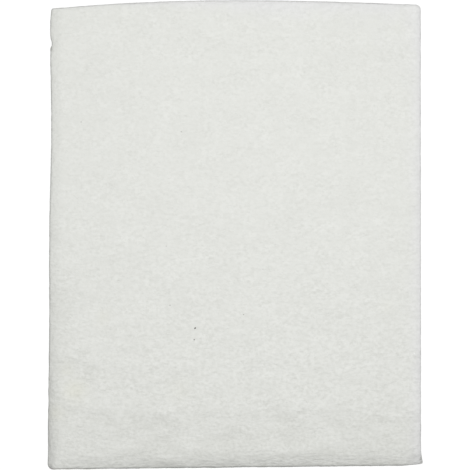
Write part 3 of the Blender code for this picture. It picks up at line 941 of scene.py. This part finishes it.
class FIBERSHEET_OT_felt_body(bpy.types.Operator):
    """Build the felt body of the sheet"""

    bl_idname = "fibersheet.felt_body"
    bl_label = "Felt body"

    def execute(self, context):
        cut, felt = context.scene.fibersheet_cut, context.scene.fibersheet_felt
        points, normals, faces, _ = felt_surface(cut, felt)
        body = mesh_object("felt_sheet", points, faces, felt_material(felt))
        for name, values in felt_tints(felt, points, normals).items():
            tint = body.data.attributes.new(name, "FLOAT", "POINT")
            tint.data.foreach_set("value", values.astype(np.float32))
        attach(body, "root")
        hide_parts(NODE)
        return {"FINISHED"}


class FIBERSHEET_OT_loose_fibers(bpy.types.Operator):
    """Scatter the loose fibres of the face and of the cut edge"""

    bl_idname = "fibersheet.loose_fibers"
    bl_label = "Loose fibres"

    def execute(self, context):
        scene = context.scene
        material = fiber_material()
        for name, maker in (("face_fibers", face_fibers), ("edge_fibers", edge_fibers)):
            paths, radius = maker(scene.fibersheet_cut, scene.fibersheet_felt, scene.fibersheet_loose)
            piece = mesh_object(name, *fiber_tubes(paths, radius), material)
            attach(piece, "root")
        return {"FINISHED"}


class FIBERSHEET_OT_shot_beads(bpy.types.Operator):
    """Set the dark beads of unspun melt into the top face"""

    bl_idname = "fibersheet.shot_beads"
    bl_label = "Shot beads"

    def execute(self, context):
        scene = context.scene
        points, _, _, shape = felt_surface(scene.fibersheet_cut, scene.fibersheet_felt)
        top = points[: shape["rows"] * shape["columns"]]
        beads = np.array(SHOT)
        places = beads[:, :2] * MM
        nearest = [int(np.argmin(((top[:, :2] - place) ** 2).sum(axis=1))) for place in places]
        sizes = np.stack([beads[:, 2], beads[:, 3], beads[:, 3]], axis=1) * MM
        heights = top[nearest, 2] + sizes[:, 2] * (1 - 2 * scene.fibersheet_loose.bead_depth)
        centres = np.column_stack([places, heights])
        mesh = bead_mesh(centres, sizes, np.radians(beads[:, 4]))
        piece = mesh_object("shot_beads", *mesh, bead_material())
        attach(piece, "root")
        return {"FINISHED"}


class FIBERSHEET_OT_stage(bpy.types.Operator):
    """Set up the floor, the lights and the camera"""

    bl_idname = "fibersheet.stage"
    bl_label = "Stage"

    def execute(self, context):
        scene = context.scene
        stage = scene.fibersheet_stage
        half = stage.floor_size / 2
        corners = np.array([(-half, -half, 0), (half, -half, 0), (half, half, 0), (-half, half, 0)])
        square = [np.array([[0, 1, 2, 3]])]
        floor = mesh_object("studio_floor", corners, square, floor_material(stage.floor_colour))
        floor.visible_diffuse = False

        world = bpy.data.worlds.new("even_studio_room")
        world.use_nodes = True
        background = world.node_tree.nodes["Background"]
        background.inputs["Color"].default_value = (1, 1, 1, 1)
        background.inputs["Strength"].default_value = stage.world_strength
        scene.world = world

        lamp = bpy.data.lights.new("overhead_softbox", "AREA")
        lamp.energy = stage.key_power
        lamp.size = stage.key_size
        key = bpy.data.objects.new("overhead_softbox", lamp)
        key.location = stage.key_place
        key.visible_camera = False
        scene.collection.objects.link(key)

        lamp = bpy.data.lights.new("floor_wash", "SUN")
        lamp.energy = stage.wash_strength
        wash = bpy.data.objects.new("floor_wash", lamp)
        scene.collection.objects.link(wash)
        only_floor = bpy.data.collections.new("lit_by_the_wash")
        only_floor.objects.link(floor)
        wash.light_linking.receiver_collection = only_floor
        wash.light_linking.blocker_collection = only_floor
        on_sheet = bpy.data.collections.new("lit_by_the_key")
        for piece in scene.objects:
            if piece.type == "MESH" and piece != floor:
                on_sheet.objects.link(piece)
        key.light_linking.receiver_collection = on_sheet

        data = bpy.data.cameras.new("overhead_camera")
        data.sensor_width = 36.0
        data.lens = data.sensor_width * stage.camera_distance / stage.frame_width
        data.clip_start, data.clip_end = 0.05, 50.0
        camera = bpy.data.objects.new("overhead_camera", data)
        aim = (NODE_LOW + NODE_HIGH) / 2 + Vector((stage.frame_right, stage.frame_up, 0))
        back = Vector((0, -math.cos(stage.camera_height), math.sin(stage.camera_height)))
        camera.location = aim + back * stage.camera_distance
        camera.rotation_euler = (math.pi / 2 - stage.camera_height, 0, 0)
        scene.collection.objects.link(camera)
        scene.camera = camera

        scene.view_settings.view_transform = "Standard"
        scene.view_settings.look = "None"
        return {"FINISHED"}


OPERATORS = (
    FIBERSHEET_OT_felt_body,
    FIBERSHEET_OT_loose_fibers,
    FIBERSHEET_OT_shot_beads,
    FIBERSHEET_OT_stage,
)
SETTINGS = {
    "fibersheet_cut": FIBERSHEET_PG_cut,
    "fibersheet_felt": FIBERSHEET_PG_felt,
    "fibersheet_loose": FIBERSHEET_PG_loose,
    "fibersheet_stage": FIBERSHEET_PG_stage,
}


class FIBERSHEET_PT_sidebar(bpy.types.Panel):
    """The sheet's operators and settings in the 3D view's sidebar"""

    bl_idname = "FIBERSHEET_PT_sidebar"
    bl_label = "Ceramic Fiber Sheet"
    bl_space_type = "VIEW_3D"
    bl_region_type = "UI"
    bl_category = "Fiber Sheet"

    def draw(self, context):
        for operator in OPERATORS:
            self.layout.operator(operator.bl_idname)
        for name, group in SETTINGS.items():
            box = self.layout.box()
            for field in group.__annotations__:
                box.prop(getattr(context.scene, name), field)


def register():
    for group in SETTINGS.values():
        bpy.utils.register_class(group)
    for name, group in SETTINGS.items():
        setattr(bpy.types.Scene, name, PointerProperty(type=group))
    for operator in OPERATORS:
        bpy.utils.register_class(operator)
    bpy.utils.register_class(FIBERSHEET_PT_sidebar)


def unregister():
    bpy.utils.unregister_class(FIBERSHEET_PT_sidebar)
    for operator in reversed(OPERATORS):
        bpy.utils.unregister_class(operator)
    for name, group in SETTINGS.items():
        delattr(bpy.types.Scene, name)
        bpy.utils.unregister_class(group)


def main():
    """Build everything in order."""
    register()
    bpy.ops.fibersheet.felt_body()
    bpy.ops.fibersheet.loose_fibers()
    bpy.ops.fibersheet.shot_beads()
    bpy.ops.fibersheet.stage()


if __name__ == "__main__":
    main()
